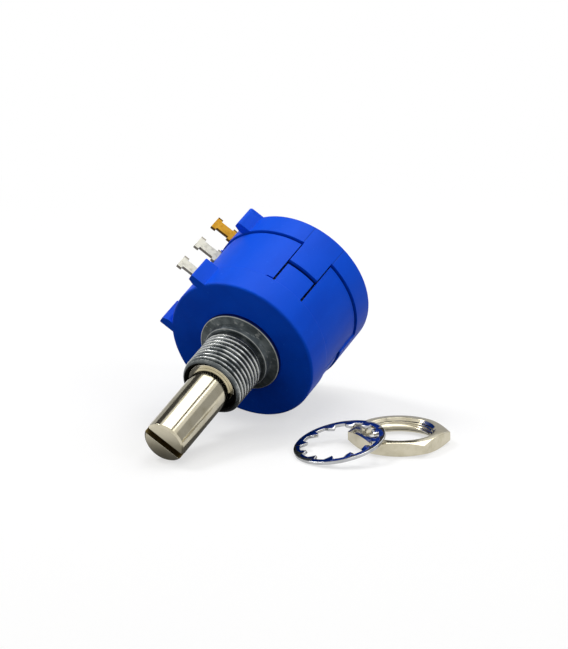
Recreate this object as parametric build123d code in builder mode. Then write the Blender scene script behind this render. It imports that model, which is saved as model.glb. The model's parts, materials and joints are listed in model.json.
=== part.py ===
from build123d import *
import math
import os

os.makedirs("parts", exist_ok=True)

# All sizes are in millimetres, all angles in degrees.
# The potentiometer is drawn about its shaft axis. Height along that axis is zero on the
# mounting face, positive towards the shaft tip and negative towards the rear cover.

# Shaft
shaft_diameter = 6.35
shaft_reach = 21.0
shaft_tip_chamfer = 0.25
shaft_slot_width = 1.2
shaft_slot_depth = 1.3
shaft_drive_diameter = 5.2
shaft_drive_flats = 4.2
journal_diameter = 3.0
journal_length = 1.6
ring_groove_depth = 0.35
shaft_clearance = 0.03

# Mounting bushing, from the thread's mouth back to the swaged lip inside the housing
thread_diameter = 9.525
thread_length = 7.5
thread_mouth_chamfer = 0.35
thread_relief_depth = 0.35
thread_relief_length = 0.6
mouth_rim_diameter = 8.6
mouth_rim_slope = 0.48
mouth_recess_diameter = 7.7
mouth_recess_depth = 0.9
register_diameter = 10.16
register_height = 1.25
flange_diameter = 12.9
flange_thickness = 0.6
hub_diameter = 10.6
hub_across_flats = 9.6
swaged_lip_diameter = 11.6
swaged_lip_thickness = 0.35

# Retaining ring in the bushing's mouth
ring_diameter = 7.4
ring_thickness = 0.5
ring_gap_angle = 76.0
ring_gap_direction = 167.5

# Moulded housing and rear cover
body_length = 17.9
band_diameter = 23.3
band_length = 4.4
barrel_diameter = 22.9
cover_diameter = 23.4
edge_rounding = 0.35
cavity_diameter = 20.4
front_wall = 1.3
rear_wall = 1.2
cover_depth = 4.35
shadow_gap = 0.35
lap_length = 0.7
lap_thickness = 0.6
seat_clearance = 0.05

# Snap latches, three round the body
latch_count = 3
latch_width = 5.3
latch_first_direction = 90.0
latch_spacing = 90.0
latch_slit = 0.3
latch_slit_start = 4.55
latch_slit_hook = 1.0
tongue_end = 8.8
latch_gap = 0.6
tongue_thinning = 0.55
nose_reach = 1.75
barb_height = 0.25
barb_length = 0.4
barb_setback = 1.1

# Locating ribs that carry the resistance element
rib_count = 8
rib_width = 0.9
rib_clearance = 0.02

# Lugs beside the terminals
lug_reach = 12.2
lug_inner_side = 4.72
lug_outer_side = 6.1
lug_root = 8.4
lug_slope_width = 0.38
lug_slope_height = 0.85
front_lug_rounding = 0.2
front_lug_length = 4.4
cover_lug_rounding = 0.5

# Terminals
terminal_pitch = 5.08
first_terminal = 8.25
terminal_reach = 15.24
terminal_thickness = 0.5
terminal_neck = 1.5
terminal_head = 2.34
terminal_head_length = 0.8
terminal_shoulder_length = 0.6
terminal_slot_clearance = 0.05
slot_overrun = 0.4
slider_terminal_setback = 18.5

# Resistance element: a ten-turn helix of wound wire on an insulated core
turns = 10
element_pitch = 1.05
element_diameter = 0.52
element_core_diameter = 0.34
element_radius = 9.59
element_front = 5.4
end_clip_thickness = 0.13
end_clip_width = 0.8
end_clip_foot = 0.4
end_clip_gap = 0.08

# Rotor, its guide rails and the carriage that runs between them
running_gap = 0.05
thrust_washer_thickness = 0.2
thrust_washer_diameter = 10.0
rotor_core_diameter = 8.8
rotor_flange_diameter = 16.8
rotor_front_flange = 0.85
rotor_rear_flange = 0.65
rail_gap = 2.6
rail_thickness = 0.6
rail_height = 7.4
rail_overrun = 0.15
carriage_front = 0.5
carriage_rear = 0.7
carriage_top = 8.6
carriage_head_width = 4.2
carriage_clearance = 0.1
follower_thickness = 0.26
follower_width = 1.0
follower_bite = 0.17
bar_thickness = 0.15
bar_width = 1.0
contact_thickness = 0.1
contact_width = 0.6
slip_ring_inner = 8.2
slip_ring_outer = 12.0
slip_ring_thickness = 0.2
slip_strip_rise = 0.35
spring_washer_thickness = 0.12
bearing_boss_diameter = 6.4
bearing_boss_height = 0.55

# Panel nut and internal-tooth lock washer, lying loose beside the potentiometer
nut_across_flats = 12.7
nut_thickness = 2.1
nut_hole_diameter = 8.6
nut_countersink = 10.5
nut_crown_diameter = 12.4
nut_crown_height = 0.45
nut_turn = 28.0
nut_place = (24.79, 4.03)
washer_diameter = 13.3
washer_thickness = 0.45
washer_root_diameter = 11.4
washer_tooth_tip = 9.8
washer_teeth = 12
washer_tooth_width = 1.3
washer_tooth_twist = 21.0
washer_place = (19.7, -4.12)
washer_gap = 0.03

# How the potentiometer lies: nose down on its shaft tip and the rim of the front band,
# rolled about its axis so that the terminals point up to one side
roll = 140.9

# Sizes worked out from the driving dimensions
body_front = -(flange_thickness + register_height)
body_rear = body_front - body_length
band_rear = body_front - band_length
seam = body_rear + cover_depth
skirt_front = seam - shadow_gap
lap_rear = skirt_front - lap_length
wall_inside = body_front - front_wall
cover_inside = body_rear + rear_wall
lip_rear = wall_inside - swaged_lip_thickness
washer_front = lip_rear - running_gap / 2
rotor_front = washer_front - thrust_washer_thickness - running_gap
shaft_radius = shaft_diameter / 2
barrel_radius = barrel_diameter / 2
band_radius = band_diameter / 2
cover_radius = cover_diameter / 2
cavity_radius = cavity_diameter / 2
lap_radius = cavity_radius + lap_thickness
bore_radius = shaft_radius + shaft_clearance
tongue_rear = body_front - tongue_end
tab_front = tongue_rear - latch_gap
element_front_height = -element_front
element_rear_height = element_front_height - turns * element_pitch
element_inner = element_radius - element_diameter / 2
element_outer = element_radius + element_diameter / 2
rail_front = rotor_front - rotor_front_flange
rail_rear = element_rear_height - carriage_rear - rail_overrun
rotor_rear = rail_rear - rotor_rear_flange
rotor_core = rotor_core_diameter / 2
carriage_height = (element_front_height + element_rear_height) / 2
rail_middle = (rail_gap + rail_thickness) / 2
rail_root = rotor_core - 2 * rail_thickness
bar_slot_width = bar_width + 2 * rib_clearance
boss_front = cover_inside + bearing_boss_height
journal_rear = rotor_rear - journal_length
ring_rear = thread_length - mouth_recess_depth + seat_clearance / 2
slit_front = body_front - latch_slit_start
latch_spread = (latch_count - 1) * latch_spacing
element_terminals = (-first_terminal, -first_terminal - terminal_pitch)
slider_terminal_height = -slider_terminal_setback
slider_foot = cavity_radius - slot_overrun
clip_outer = cavity_radius - end_clip_gap
half_blade = terminal_thickness / 2
barrel_shoulder = barrel_radius + seat_clearance
cover_shoulder = cover_radius + seat_clearance
slip_strip_height = cover_inside + slip_strip_rise
slot_width = terminal_thickness + 2 * terminal_slot_clearance
slot_length = terminal_neck + 2 * terminal_slot_clearance
slot_depth = cover_radius - cavity_radius + 3 * slot_overrun

# The lean puts the shaft tip and the rounded rim of the front band on one level
rim_radius = band_radius - edge_rounding
rim_height = body_front - edge_rounding
tip_height = shaft_reach - shaft_tip_chamfer
across = rim_radius - shaft_radius
along = tip_height - rim_height
lean = math.degrees(
    math.acos(-edge_rounding / math.hypot(across, along)) - math.atan2(along, across)
)
drop = shaft_radius * math.cos(math.radians(lean)) + tip_height * math.sin(math.radians(lean))

# Local planes: across the shaft at the mounting face, and through the shaft and terminals
nose = Vector(0, -1, 0).rotate(Axis.X, lean)
terminal_way = Vector(1, 0, 0).rotate(Axis(origin=(0, 0, 0), direction=(0, -1, 0)), roll).rotate(Axis.X, lean)
face = Plane(origin=(0, 0, 0), x_dir=terminal_way, z_dir=nose)
side = Plane(origin=(0, 0, 0), x_dir=terminal_way, z_dir=terminal_way.cross(nose))
shaft_axis = Axis(origin=(0, 0, 0), direction=nose)

# The washer leans on the nut's crown: the tilt is found by repeating the contact's geometry
nut_to_washer = (nut_place[0] - washer_place[0], nut_place[1] - washer_place[1])
centre_distance = math.hypot(*nut_to_washer)
lean_way = Vector(nut_to_washer[0] / centre_distance, nut_to_washer[1] / centre_distance, 0)
twist = math.radians(washer_tooth_twist)
tooth_drop = (washer_tooth_width * math.sin(twist) - washer_thickness * (1 - math.cos(twist))) / 2
contact_reach = (
    centre_distance**2 + (washer_tooth_tip / 2) ** 2 - (nut_crown_diameter / 2) ** 2
) / (2 * centre_distance)
washer_tilt = 0.0
for step in range(20):
    washer_run = washer_diameter / 2 * math.cos(washer_tilt) + contact_reach
    washer_tilt = math.atan((nut_thickness + washer_gap + tooth_drop) / washer_run)
washer_level = washer_diameter / 2 * math.sin(washer_tilt) - drop
washer_plane = Plane(
    origin=(washer_place[0], washer_place[1], washer_level),
    x_dir=lean_way * math.cos(washer_tilt) + Vector(0, 0, math.sin(washer_tilt)),
    z_dir=lean_way * -math.sin(washer_tilt) + Vector(0, 0, math.cos(washer_tilt)),
)


# The plane through the shaft and the terminals, moved along the shaft
def side_at(height):
    return Plane(origin=nose * height, x_dir=side.x_dir, z_dir=side.z_dir)


# One flat band of the latches' outlines, cut to the ring between two radii
def latch_band(height, width, inner, outer, sideways=0.0):
    with BuildSketch(face.offset(height)) as band:
        with PolarLocations(cavity_radius, latch_count, latch_first_direction, latch_spread, endpoint=True):
            with Locations((0, sideways)):
                Rectangle(2 * (lug_reach - cavity_radius), width)
        Circle(outer, mode=Mode.INTERSECT)
        Circle(inner, mode=Mode.SUBTRACT)
    return band.sketch


# The two lugs beside the terminals, as one flat outline clear of what lies inside
def lug_outline(height, rounding, inner):
    with BuildSketch(face.offset(height)) as lugs:
        with BuildLine():
            Polyline(
                (lug_root, lug_inner_side),
                (lug_reach - lug_slope_height, lug_inner_side),
                (lug_reach, lug_inner_side + lug_slope_width),
                (lug_reach, lug_outer_side),
                (lug_root, lug_outer_side),
                close=True,
            )
        make_face()
        fillet(lugs.vertices().sort_by_distance((lug_reach, lug_outer_side))[0], rounding)
        mirror(about=Plane.XZ)
        Circle(inner, mode=Mode.SUBTRACT)
    return lugs.sketch


# A terminal blade seen edge on to the body: foot, shoulders, neck and head
def blade_outline(height, foot, shoulder):
    neck = terminal_neck / 2
    head = terminal_head / 2
    with BuildSketch(side_at(height)) as blade:
        with BuildLine():
            Polyline(
                (foot, 0),
                (foot, neck),
                (shoulder, neck),
                (shoulder, head),
                (shoulder + terminal_shoulder_length, head),
                (shoulder + terminal_shoulder_length, neck),
                (terminal_reach - terminal_head_length, neck),
                (terminal_reach - terminal_head_length, head),
                (terminal_reach, head),
                (terminal_reach, 0),
                close=True,
            )
        make_face()
        mirror(about=Plane.XZ)
    return blade.sketch


# Housing: a turned cup with two lugs, a half-lap rim, latch tongues and inner ribs
with BuildPart() as front_housing:
    with BuildSketch(side):
        with BuildLine():
            Polyline(
                (0, body_front),
                (band_radius, body_front),
                (band_radius, band_rear),
                (barrel_radius, band_rear),
                (barrel_radius, seam),
                (lap_radius, seam),
                (lap_radius, lap_rear),
                (0, lap_rear),
                close=True,
            )
        make_face()
        fillet(vertices().sort_by_distance((band_radius, body_front))[0], edge_rounding)
    revolve(axis=shaft_axis)
    extrude(lug_outline(body_front, front_lug_rounding, cavity_radius), amount=-front_lug_length)
    with BuildSketch(face.offset(wall_inside)):
        Circle(cavity_radius)
    extrude(amount=lap_rear - wall_inside, mode=Mode.SUBTRACT)
    with BuildSketch(face.offset(body_front)):
        Circle(hub_diameter / 2)
        Rectangle(hub_diameter, hub_across_flats, mode=Mode.INTERSECT)
    extrude(amount=-front_wall, mode=Mode.SUBTRACT)
    # Ribs hold the element off the wall, which leaves room for the end clips
    with BuildSketch(face.offset(wall_inside)):
        with PolarLocations(cavity_radius, rib_count, 180 / rib_count):
            Rectangle(2 * (lap_radius - element_outer), rib_width)
        Circle(lap_radius, mode=Mode.INTERSECT)
        Circle(element_outer + rib_clearance, mode=Mode.SUBTRACT)
    extrude(amount=seam - wall_inside)
    # Notches for the cover's tabs, and the slits that free each tongue's sides
    notch_inner = cavity_radius - rib_clearance
    notch = latch_band(tongue_rear, latch_width, notch_inner, lug_reach)
    extrude(notch, amount=lap_rear - tongue_rear, mode=Mode.SUBTRACT)
    for way in (-1, 1):
        slit_middle = way * (latch_width - latch_slit) / 2
        slit = latch_band(slit_front, latch_slit, notch_inner, lug_reach, slit_middle)
        extrude(slit, amount=tongue_rear - slit_front, mode=Mode.SUBTRACT)
    hook_middle = (latch_width + latch_slit_hook) / 2
    hook = latch_band(slit_front, latch_slit_hook, barrel_radius - latch_slit, lug_reach, hook_middle)
    extrude(hook, amount=-latch_slit, mode=Mode.SUBTRACT)
    # Thinned underside of each tongue, with a pocket for the barb
    thinned = latch_band(tongue_rear, latch_width, notch_inner, cavity_radius + tongue_thinning)
    extrude(thinned, amount=nose_reach + latch_slit, mode=Mode.SUBTRACT)
    pocket_rear = tongue_rear + barb_setback - seat_clearance
    pocket = latch_band(pocket_rear, latch_width, notch_inner, cavity_radius + tongue_thinning + barb_height)
    extrude(pocket, amount=barb_length + 2 * seat_clearance, mode=Mode.SUBTRACT)
    # Slots for the two element terminals
    for terminal_height in element_terminals:
        with BuildSketch(face.offset(terminal_height)):
            with Locations((cavity_radius - slot_overrun, 0)):
                Rectangle(slot_depth, slot_width, align=(Align.MIN, Align.CENTER))
        extrude(amount=slot_length / 2, both=True, mode=Mode.SUBTRACT)

# Rear cover: a shallow cap with matching lugs, snap tabs, a bearing boss and a terminal slot
with BuildPart() as rear_cover:
    with BuildSketch(side):
        with BuildLine():
            Polyline(
                (0, body_rear),
                (cover_radius, body_rear),
                (cover_radius, skirt_front),
                (lap_radius + seat_clearance, skirt_front),
                (lap_radius + seat_clearance, lap_rear - seat_clearance),
                (0, lap_rear - seat_clearance),
                close=True,
            )
        make_face()
        fillet(vertices().sort_by_distance((cover_radius, body_rear))[0], edge_rounding)
    revolve(axis=shaft_axis)
    cover_lugs = lug_outline(skirt_front, cover_lug_rounding, lap_radius + seat_clearance)
    extrude(cover_lugs, amount=body_rear - skirt_front)
    # Tabs that fill the housing's notches, each with a barbed nose under its tongue
    tab_inner = cavity_radius + seat_clearance
    tab_width = latch_width - latch_slit
    tab = latch_band(tab_front, tab_width, tab_inner, cover_radius)
    extrude(tab, amount=lap_rear - 2 * seat_clearance - tab_front)
    nose_outer = cavity_radius + tongue_thinning - seat_clearance
    extrude(latch_band(tab_front, tab_width, tab_inner, nose_outer), amount=latch_gap + nose_reach)
    barb = latch_band(tongue_rear + barb_setback, tab_width, tab_inner, nose_outer + barb_height)
    extrude(barb, amount=barb_length)
    with BuildSketch(face.offset(cover_inside)):
        Circle(cavity_radius)
    extrude(amount=lap_rear - cover_inside, mode=Mode.SUBTRACT)
    with BuildSketch(face.offset(cover_inside)):
        Circle(bearing_boss_diameter / 2)
    extrude(amount=bearing_boss_height)
    with BuildSketch(face.offset(boss_front)):
        Circle(journal_diameter / 2 + shaft_clearance)
    extrude(amount=journal_rear - running_gap - boss_front, mode=Mode.SUBTRACT)
    with BuildSketch(face.offset(slider_terminal_height)):
        with Locations((cavity_radius - 2 * slot_overrun, 0)):
            Rectangle(slot_depth, slot_width, align=(Align.MIN, Align.CENTER))
    extrude(amount=slot_length / 2, both=True, mode=Mode.SUBTRACT)

# Die-cast bushing: thread, register, flange, and a flatted hub swaged inside the housing
with BuildPart() as mounting_bushing:
    thread_radius = thread_diameter / 2
    relief_radius = thread_radius - thread_relief_depth
    with BuildSketch(side):
        with BuildLine():
            Polyline(
                (bore_radius, lip_rear),
                (swaged_lip_diameter / 2, lip_rear),
                (swaged_lip_diameter / 2, wall_inside),
                (hub_diameter / 2, wall_inside),
                (hub_diameter / 2, body_front),
                (flange_diameter / 2, body_front),
                (flange_diameter / 2, -register_height),
                (register_diameter / 2, -register_height),
                (register_diameter / 2, 0),
                (relief_radius, 0),
                (relief_radius, thread_relief_length),
                (thread_radius, thread_relief_length + thread_relief_depth),
                (thread_radius, thread_length - thread_mouth_chamfer),
                (thread_radius - thread_mouth_chamfer, thread_length),
                (mouth_rim_diameter / 2, thread_length),
                (mouth_recess_diameter / 2, thread_length - mouth_rim_slope),
                (mouth_recess_diameter / 2, thread_length - mouth_recess_depth),
                (bore_radius, thread_length - mouth_recess_depth),
                close=True,
            )
        make_face()
    revolve(axis=shaft_axis)
    with BuildSketch(face.offset(wall_inside)):
        Circle(flange_diameter / 2)
        Rectangle(flange_diameter, hub_across_flats, mode=Mode.SUBTRACT)
    extrude(amount=front_wall, mode=Mode.SUBTRACT)

# Shaft: plated steel with a screwdriver slot, a ring groove, drive flats and a rear journal
with BuildPart() as shaft:
    groove_radius = shaft_radius - ring_groove_depth
    groove_front = ring_rear + ring_thickness + seat_clearance
    with BuildSketch(side):
        with BuildLine():
            Polyline(
                (0, journal_rear),
                (journal_diameter / 2, journal_rear),
                (journal_diameter / 2, rotor_rear),
                (shaft_drive_diameter / 2, rotor_rear),
                (shaft_drive_diameter / 2, rotor_front),
                (shaft_radius, rotor_front),
                (shaft_radius, ring_rear),
                (groove_radius, ring_rear),
                (groove_radius, groove_front),
                (shaft_radius, groove_front),
                (shaft_radius, tip_height),
                (shaft_radius - shaft_tip_chamfer, shaft_reach),
                (0, shaft_reach),
                close=True,
            )
        make_face()
    revolve(axis=shaft_axis)
    with BuildSketch(face.offset(shaft_reach)):
        Rectangle(shaft_diameter + shaft_slot_width, shaft_slot_width)
    extrude(amount=-shaft_slot_depth, mode=Mode.SUBTRACT)
    with BuildSketch(face.offset(rotor_front)):
        Circle(shaft_radius)
        Rectangle(shaft_diameter, shaft_drive_flats, mode=Mode.SUBTRACT)
    extrude(amount=rotor_rear - rotor_front, mode=Mode.SUBTRACT)

# Open ring in the shaft's groove, resting on the floor of the bushing's mouth
with BuildPart() as shaft_retaining_ring:
    gap_half_width = ring_diameter * math.tan(math.radians(ring_gap_angle / 2))
    with BuildSketch(face.offset(ring_rear + seat_clearance / 2)):
        Circle(ring_diameter / 2)
        Circle(shaft_radius - ring_groove_depth + rib_clearance, mode=Mode.SUBTRACT)
        with PolarLocations(0, 1, ring_gap_direction):
            Polygon(
                (0, 0),
                (ring_diameter, -gap_half_width),
                (ring_diameter, gap_half_width),
                align=None,
                mode=Mode.SUBTRACT,
            )
    extrude(amount=ring_thickness)

# Thrust washer between the bushing's inner end and the rotor
with BuildPart() as thrust_washer:
    with BuildSketch(face.offset(washer_front)):
        Circle(thrust_washer_diameter / 2)
        Circle(bore_radius, mode=Mode.SUBTRACT)
    extrude(amount=-thrust_washer_thickness)

# Coned spring washer that takes up the shaft's end play against the cover's boss
with BuildPart() as spring_washer:
    spring_inner = journal_diameter / 2 + running_gap
    spring_outer = bearing_boss_diameter / 2 - running_gap
    with BuildSketch(side):
        with BuildLine():
            Polyline(
                (spring_inner, rotor_rear - running_gap),
                (spring_inner, rotor_rear - running_gap - spring_washer_thickness),
                (spring_outer, boss_front + rib_clearance),
                (spring_outer, boss_front + rib_clearance + spring_washer_thickness),
                close=True,
            )
        make_face()
    revolve(axis=shaft_axis)

# Rotor: a moulded bobbin keyed on the shaft's flats, with two rails between its flanges
with BuildPart() as rotor:
    flange_radius = rotor_flange_diameter / 2
    with BuildSketch(side):
        with BuildLine():
            Polyline(
                (0, rotor_front),
                (flange_radius, rotor_front),
                (flange_radius, rail_front),
                (rotor_core, rail_front),
                (rotor_core, rail_rear),
                (flange_radius, rail_rear),
                (flange_radius, rotor_rear),
                (0, rotor_rear),
                close=True,
            )
        make_face()
    revolve(axis=shaft_axis)
    with BuildSketch(face.offset(rail_front)):
        with Locations((rail_root, -rail_middle), (rail_root, rail_middle)):
            Rectangle(rail_height - rail_root, rail_thickness, align=(Align.MIN, Align.CENTER))
    extrude(amount=rail_rear - rail_front)
    with BuildSketch(face.offset(rotor_front)):
        Circle(shaft_drive_diameter / 2 + rib_clearance)
        Rectangle(shaft_diameter, shaft_drive_flats + 2 * rib_clearance, mode=Mode.INTERSECT)
    extrude(amount=rotor_rear - rotor_front, mode=Mode.SUBTRACT)
    with BuildSketch(face.offset(rail_rear)):
        with Locations((rotor_core, 0)):
            Rectangle(bar_thickness + rib_clearance, bar_slot_width, align=(Align.MIN, Align.CENTER))
    extrude(amount=rotor_rear - rail_rear, mode=Mode.SUBTRACT)

# Collector bar along the rotor between its rails, through the rear flange to the slip ring
with BuildPart() as collector_bar:
    with BuildSketch(face.offset(rail_front)):
        with Locations((rotor_core, 0)):
            Rectangle(bar_thickness, bar_width, align=(Align.MIN, Align.CENTER))
    extrude(amount=rotor_rear - rail_front)

# Slip ring on the rotor's rear face
with BuildPart() as slip_ring:
    with BuildSketch(face.offset(rotor_rear)):
        Circle(slip_ring_outer / 2)
        Circle(slip_ring_inner / 2, mode=Mode.SUBTRACT)
    extrude(amount=-slip_ring_thickness)

# Fixed spring finger from the slider terminal to the slip ring
with BuildPart() as slip_contact:
    finger_touch = (slip_ring_inner + slip_ring_outer) / 4
    finger_height = rotor_rear - slip_ring_thickness - running_gap - contact_thickness / 2
    with BuildSketch(side):
        with BuildLine():
            Polyline(
                (slider_foot - rib_clearance, slip_strip_height),
                ((slider_foot + finger_touch) / 2, slip_strip_height),
                (finger_touch, finger_height),
                (finger_touch - contact_width, finger_height - contact_thickness),
            )
        trace(line_width=contact_thickness)
    extrude(amount=contact_width / 2, both=True)

# Resistance element: wire wound on an insulated core and coiled into a helix
def coil_path():
    with BuildLine() as coil:
        Helix(element_pitch, turns * element_pitch, element_radius)
    return coil.line.moved(face.offset(element_rear_height).location)


with BuildPart() as resistance_winding:
    winding_path = coil_path()
    with BuildSketch(Plane(origin=winding_path @ 0, z_dir=winding_path % 0)):
        Circle(element_diameter / 2)
        Circle(element_core_diameter / 2 + rib_clearance / 2, mode=Mode.SUBTRACT)
    sweep(path=winding_path, is_frenet=True)

with BuildPart() as winding_core:
    core_path = coil_path()
    with BuildSketch(Plane(origin=core_path @ 0, z_dir=core_path % 0)):
        Circle(element_core_diameter / 2)
    sweep(path=core_path, is_frenet=True)


# Clips along the wall that carry the element's ends to their terminals
def clip_strap(terminal_height, end_height):
    with BuildSketch(side_at((terminal_height + end_height) / 2)) as strap:
        with Locations((clip_outer - end_clip_thickness, 0)):
            strap_length = abs(terminal_height - end_height) + end_clip_foot
            Rectangle(end_clip_thickness, strap_length, align=(Align.MIN, Align.CENTER))
    return strap.sketch


def clip_foot(end_height):
    with BuildSketch(side_at(end_height)) as foot:
        with Locations((element_radius, 0)):
            Rectangle(clip_outer - element_radius, end_clip_foot, align=(Align.MIN, Align.CENTER))
    return foot.sketch


with BuildPart() as front_end_clip:
    extrude(clip_strap(element_terminals[0], element_front_height), amount=end_clip_width / 2, both=True)
    extrude(clip_foot(element_front_height), amount=-end_clip_width / 2)

with BuildPart() as rear_end_clip:
    extrude(clip_strap(element_terminals[1], element_rear_height), amount=end_clip_width / 2, both=True)
    extrude(clip_foot(element_rear_height), amount=end_clip_width / 2)

# Solder terminals: two for the element's ends and one for the slider
with BuildPart() as ccw_terminal:
    extrude(blade_outline(element_terminals[0], clip_outer, barrel_shoulder), amount=half_blade, both=True)

with BuildPart() as cw_terminal:
    extrude(blade_outline(element_terminals[1], clip_outer, barrel_shoulder), amount=half_blade, both=True)

with BuildPart() as slider_terminal:
    extrude(blade_outline(slider_terminal_height, slider_foot, cover_shoulder), amount=half_blade, both=True)

# Wiper carriage: slides between the rails and is led along by a follower between two turns
with BuildPart() as wiper_carriage:
    carriage_foot = rotor_core + bar_thickness + carriage_clearance
    with BuildSketch(face.offset(carriage_height + carriage_front)):
        with Locations((carriage_foot, 0)):
            Rectangle(
                carriage_top - carriage_foot,
                rail_gap - 2 * carriage_clearance,
                align=(Align.MIN, Align.CENTER),
            )
        with Locations((rail_height + carriage_clearance, 0)):
            Rectangle(
                carriage_top - rail_height - carriage_clearance,
                carriage_head_width,
                align=(Align.MIN, Align.CENTER),
            )
    extrude(amount=-(carriage_front + carriage_rear))
    with BuildSketch(face.offset(carriage_height - element_pitch / 2)):
        with Locations((rail_height + carriage_clearance, 0)):
            Rectangle(
                element_inner + follower_bite - rail_height - carriage_clearance,
                follower_width,
                align=(Align.MIN, Align.CENTER),
            )
    extrude(amount=follower_thickness / 2, both=True)

# Wiper contact: one strip that bridges the element and the collector bar
with BuildPart() as wiper_contact:
    strip_height = carriage_height + carriage_front + contact_thickness / 2 + rib_clearance
    strip_foot = rotor_core + bar_thickness + running_gap
    strip_tip = element_inner - running_gap - contact_thickness / 2
    with BuildSketch(side):
        with BuildLine():
            Polyline(
                (strip_foot, strip_height),
                (carriage_top + contact_thickness, strip_height),
                (strip_tip, carriage_height),
            )
        trace(line_width=contact_thickness)
    extrude(amount=contact_width / 2, both=True)

# Panel nut: a thin hexagon with crowned corners and a countersink on each face
with BuildPart() as hex_nut:
    nut_plane = Plane(origin=(nut_place[0], nut_place[1], -drop))
    corner_radius = nut_across_flats / math.sqrt(3)
    countersink_depth = (nut_countersink - nut_hole_diameter) / 2
    with BuildSketch(Plane(origin=nut_plane.origin, x_dir=(1, 0, 0), z_dir=(0, -1, 0))):
        with BuildLine():
            Polyline(
                (nut_hole_diameter / 2, countersink_depth),
                (nut_countersink / 2, 0),
                (nut_crown_diameter / 2, 0),
                (corner_radius, nut_crown_height),
                (corner_radius, nut_thickness - nut_crown_height),
                (nut_crown_diameter / 2, nut_thickness),
                (nut_countersink / 2, nut_thickness),
                (nut_hole_diameter / 2, nut_thickness - countersink_depth),
                close=True,
            )
        make_face()
    revolve(axis=Axis(origin=nut_plane.origin, direction=(0, 0, 1)))
    with BuildSketch(nut_plane):
        RegularPolygon(nut_across_flats / 2, 6, major_radius=False, rotation=nut_turn)
    extrude(amount=nut_thickness, mode=Mode.INTERSECT)

# Lock washer: a thin ring with twisted inner teeth, one side on the floor and one on the nut
with BuildPart() as lock_washer:
    ring_radius = washer_diameter / 2
    tooth_root = washer_root_diameter / 2
    tooth_tip = washer_tooth_tip / 2
    with BuildSketch(washer_plane):
        Circle(ring_radius)
        Circle(tooth_root, mode=Mode.SUBTRACT)
    extrude(amount=washer_thickness)
    for tooth in range(washer_teeth):
        turned = washer_plane.location * Rotation(0, 0, (tooth + 0.5) * 360 / washer_teeth)
        tooth_place = turned * Pos(tooth_tip, 0, washer_thickness / 2) * Rotation(0, 90, 0)
        with BuildSketch(Plane(tooth_place)):
            Rectangle(washer_thickness, washer_tooth_width, rotation=washer_tooth_twist)
        extrude(amount=tooth_root - tooth_tip + seat_clearance)

pieces = {
    "front_housing": front_housing,
    "rear_cover": rear_cover,
    "mounting_bushing": mounting_bushing,
    "shaft": shaft,
    "shaft_retaining_ring": shaft_retaining_ring,
    "thrust_washer": thrust_washer,
    "spring_washer": spring_washer,
    "rotor": rotor,
    "collector_bar": collector_bar,
    "slip_ring": slip_ring,
    "slip_contact": slip_contact,
    "resistance_winding": resistance_winding,
    "winding_core": winding_core,
    "front_end_clip": front_end_clip,
    "rear_end_clip": rear_end_clip,
    "ccw_terminal": ccw_terminal,
    "cw_terminal": cw_terminal,
    "slider_terminal": slider_terminal,
    "wiper_carriage": wiper_carriage,
    "wiper_contact": wiper_contact,
    "hex_nut": hex_nut,
    "lock_washer": lock_washer,
}

# The finished group stands on the floor with its origin at the middle of its footprint
outer_box = Compound([piece.part for piece in pieces.values()]).bounding_box()
home = Location((-outer_box.center().X, -outer_box.center().Y, -outer_box.min.Z))
for name, piece in pieces.items():
    placed = piece.part.moved(home)
    placed.label = name
    export_step(placed, f"parts/{name}.step")

print("mounting face centre", home.position)
print("shaft direction", nose, "terminal direction", terminal_way, "lean", lean)
print("nut centre", home.position + nut_plane.origin, "washer plane", washer_plane)
print("outer size", outer_box.size)
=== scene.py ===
import json
import math
import bpy
import bmesh
from mathutils import Matrix, Vector


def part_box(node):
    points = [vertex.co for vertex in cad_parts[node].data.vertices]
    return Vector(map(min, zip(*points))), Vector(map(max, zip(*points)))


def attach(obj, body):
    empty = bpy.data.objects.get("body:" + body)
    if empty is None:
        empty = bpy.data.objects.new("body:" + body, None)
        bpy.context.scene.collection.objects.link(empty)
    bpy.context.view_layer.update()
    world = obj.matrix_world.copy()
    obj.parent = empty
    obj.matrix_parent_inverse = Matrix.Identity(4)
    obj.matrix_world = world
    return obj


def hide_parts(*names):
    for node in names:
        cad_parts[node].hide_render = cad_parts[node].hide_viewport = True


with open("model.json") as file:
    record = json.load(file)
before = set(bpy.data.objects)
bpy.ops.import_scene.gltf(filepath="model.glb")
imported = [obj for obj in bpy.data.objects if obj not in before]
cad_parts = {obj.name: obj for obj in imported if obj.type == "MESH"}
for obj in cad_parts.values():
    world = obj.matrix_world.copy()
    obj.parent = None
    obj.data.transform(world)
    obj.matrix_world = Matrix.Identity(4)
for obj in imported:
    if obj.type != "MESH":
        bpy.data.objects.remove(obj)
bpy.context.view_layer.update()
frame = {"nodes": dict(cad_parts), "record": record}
nodes = frame["nodes"]
mm = 0.001


# Where things are, read from the frame

def mountNamed(name):
    return next(m for m in frame["record"]["mounts"] if m["name"] == name)


def axesToMatrix(origin, xWay, zWay):
    yWay = zWay.cross(xWay)
    turned = Matrix((xWay, yWay, zWay)).transposed().to_4x4()
    return Matrix.Translation(origin) @ turned


shaftWay = Vector(mountNamed("panel_bushing")["axis"]).normalized()
threadMiddle = Vector(mountNamed("panel_bushing")["pos_m"])
faceToThread = (Vector(mountNamed("mounting_face")["pos_m"]) - threadMiddle).dot(shaftWay)
faceMiddle = threadMiddle + shaftWay * faceToThread     # centre of the mounting face
terminalWay = Vector(mountNamed("slider_lug")["axis"]).normalized()
potPlace = axesToMatrix(faceMiddle, terminalWay, shaftWay)

nutLow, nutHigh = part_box("hex_nut")
nutMiddle = (nutLow + nutHigh) / 2
nutPlace = Matrix.Translation((nutMiddle.x, nutMiddle.y, nutLow.z))

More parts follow.
